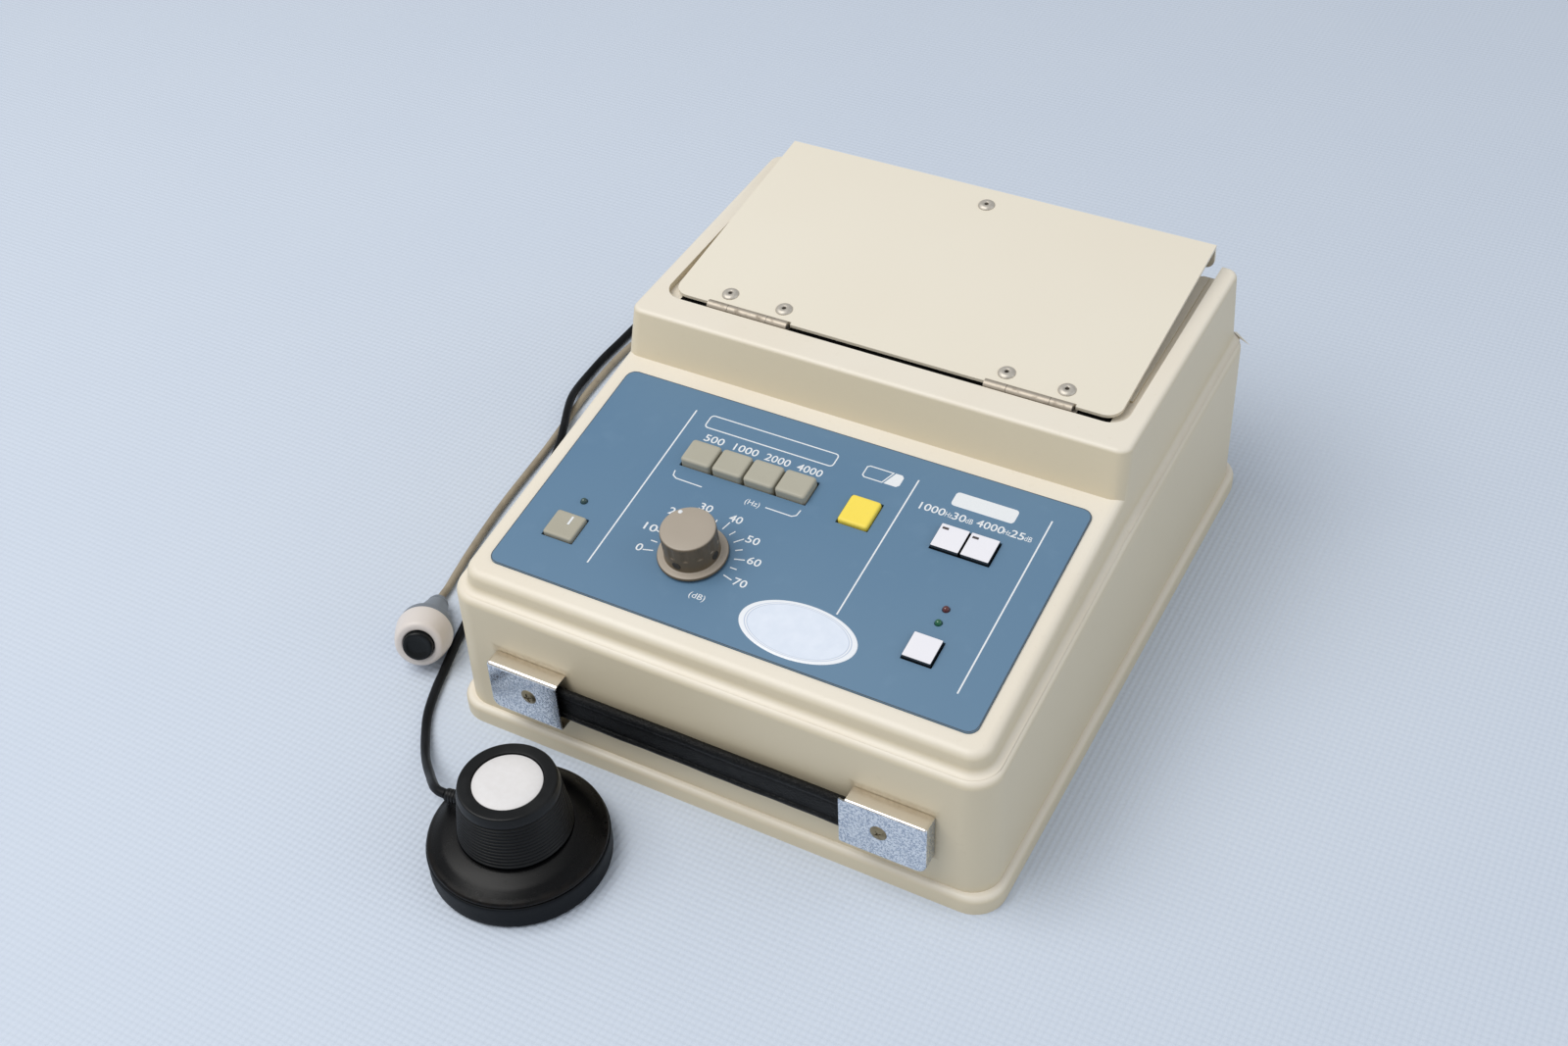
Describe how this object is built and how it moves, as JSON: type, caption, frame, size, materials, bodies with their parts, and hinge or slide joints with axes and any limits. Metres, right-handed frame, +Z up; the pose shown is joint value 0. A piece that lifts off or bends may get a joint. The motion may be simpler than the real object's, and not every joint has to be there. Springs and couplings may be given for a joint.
{
  "type": "audiometer",
  "caption": "Portable screening audiometer: sloped panel of push keys and a level knob, hinged lid over a storage well, front strap, wired hand-held receiver and response switch.",
  "frame": {"origin": "on the surface it stands on, under the middle of the case's base lip", "axes": "+X to the user's right, +Y towards the back of the case, +Z up"},
  "size_m": [0.3386, 0.493, 0.1374],
  "materials": {
    "case_plastic": "cream moulded plastic, worn satin",
    "lid_sheet": "cream painted aluminium sheet",
    "base_plastic": "cream plastic sheet",
    "rubber": "black rubber",
    "cushion": "black rubber, slightly glossy",
    "steel": "dull zinc plated steel",
    "chrome": "polished chromium plate",
    "magnet_block": "brown plastic holding a magnet",
    "plate": "blue printed aluminium plate",
    "oval": "satin silver label",
    "lamp_dark": "dark red lamp, off",
    "lamp_red": "red lamp, off",
    "lamp_green": "green lamp",
    "key_grey": "grey green satin plastic",
    "key_yellow": "yellow satin plastic",
    "key_white": "off white satin plastic",
    "black_plastic": "black plastic",
    "gloss_black": "glossy black moulding",
    "circuit": "green circuit board",
    "knob": "taupe satin plastic",
    "cell": "blue cell sleeve",
    "label_white": "bare off white label",
    "strap": "black grained leatherette",
    "switch_white": "ivory moulded plastic",
    "switch_grey": "grey soft plastic",
    "button": "black satin plastic",
    "black_lead": "black round cord",
    "grey_lead": "grey beige round cord",
    "grey_plug": "grey beige moulded plug",
    "tie_white": "white tie"
  },
  "bodies": {
    "case": {"upper_case": "case_plastic", "bottom_plate": "base_plastic", "case_screws": "steel", "rubber_pads": "rubber", "storage_well": "case_plastic", "magnet_catch": "magnet_block", "hinge_fixed_leaves": "steel", "hinge_pins": "steel", "hinge_screws": "steel", "control_plate": "plate", "oval_label": "oval", "power_lamp": "lamp_dark", "red_lamp": "lamp_red", "green_lamp": "lamp_green", "key_switches": "black_plastic", "control_board": "circuit", "board_screws": "steel", "rotary_switch": "black_plastic", "rotary_switch_nut": "steel", "main_board": "circuit", "battery_holder": "black_plastic", "battery_cells": "cell", "back_jacks": "steel", "receiver_plug": "black_plastic", "response_plug": "grey_plug", "handle_caps": "chrome", "handle_strap": "strap", "handle_screws": "steel", "receiver_body": "black_plastic", "receiver_cap": "gloss_black", "receiver_label": "label_white", "receiver_disc": "gloss_black", "receiver_ear_cushion": "cushion", "receiver_driver": "steel", "receiver_strain_relief": "rubber", "receiver_cord": "black_lead", "receiver_cord_coil": "black_lead", "response_head": "switch_white", "response_grip": "switch_grey", "response_microswitch": "black_plastic", "response_cord": "grey_lead", "response_cord_coil": "grey_lead", "coil_ties": "tie_white"},
    "lid": {"lid": "lid_sheet", "lid_keeper": "steel", "lid_rivets": "steel", "hinge_moving_leaves": "steel"},
    "knob": {"level_knob": "knob", "rotary_switch_spindle": "steel"},
    "response_push": {"response_button": "button"},
    "power_key_body": {"power_key": "key_grey"},
    "key_500_hz_body": {"key_500_hz": "key_grey"},
    "key_1000_hz_body": {"key_1000_hz": "key_grey"},
    "key_2000_hz_body": {"key_2000_hz": "key_grey"},
    "key_4000_hz_body": {"key_4000_hz": "key_grey"},
    "changeover_key_body": {"changeover_key": "key_yellow"},
    "tone_key_1000_hz_body": {"tone_key_1000_hz": "key_white"},
    "tone_key_4000_hz_body": {"tone_key_4000_hz": "key_white"},
    "interrupter_key_body": {"interrupter_key": "key_white"}
  },
  "joints": [
    {"name": "lid_hinge", "type": "hinge", "parent": "case", "child": "lid", "pos_m": [0, 0.0188, 0.12394], "axis": [1, 0, 0], "range_deg": [-4.9, 100]},
    {"name": "level_knob_turn", "type": "hinge", "parent": "case", "child": "knob", "pos_m": [-0.0315, -0.09706, 0.08971], "axis": [0, -0.1409, 0.99], "range_deg": [-150, 60]},
    {"name": "power_key_press", "type": "slide", "parent": "case", "child": "power_key_body", "axis": [0, 0.1409, -0.99], "range_m": [0, 0.003], "stiffness_N_per_m": 400, "springref_m": -0.002},
    {"name": "key_500_hz_press", "type": "slide", "parent": "case", "child": "key_500_hz_body", "axis": [0, 0.1409, -0.99], "range_m": [0, 0.003], "stiffness_N_per_m": 400, "springref_m": -0.002},
    {"name": "key_1000_hz_press", "type": "slide", "parent": "case", "child": "key_1000_hz_body", "axis": [0, 0.1409, -0.99], "range_m": [0, 0.003], "stiffness_N_per_m": 400, "springref_m": -0.002},
    {"name": "key_2000_hz_press", "type": "slide", "parent": "case", "child": "key_2000_hz_body", "axis": [0, 0.1409, -0.99], "range_m": [0, 0.003], "stiffness_N_per_m": 400, "springref_m": -0.002},
    {"name": "key_4000_hz_press", "type": "slide", "parent": "case", "child": "key_4000_hz_body", "axis": [0, 0.1409, -0.99], "range_m": [0, 0.003], "stiffness_N_per_m": 400, "springref_m": -0.002},
    {"name": "changeover_key_press", "type": "slide", "parent": "case", "child": "changeover_key_body", "axis": [0, 0.1409, -0.99], "range_m": [0, 0.003], "stiffness_N_per_m": 400, "springref_m": -0.002},
    {"name": "tone_key_1000_hz_press", "type": "slide", "parent": "case", "child": "tone_key_1000_hz_body", "axis": [0, 0.1409, -0.99], "range_m": [0, 0.003], "stiffness_N_per_m": 400, "springref_m": -0.002},
    {"name": "tone_key_4000_hz_press", "type": "slide", "parent": "case", "child": "tone_key_4000_hz_body", "axis": [0, 0.1409, -0.99], "range_m": [0, 0.003], "stiffness_N_per_m": 400, "springref_m": -0.002},
    {"name": "interrupter_key_press", "type": "slide", "parent": "case", "child": "interrupter_key_body", "axis": [0, 0.1409, -0.99], "range_m": [0, 0.003], "stiffness_N_per_m": 400, "springref_m": -0.002},
    {"name": "response_button_press", "type": "slide", "parent": "case", "child": "response_push", "axis": [-0.4104, 0.8603, -0.3024], "range_m": [0, 0.0016], "stiffness_N_per_m": 500, "springref_m": -0.0015}
  ]
}
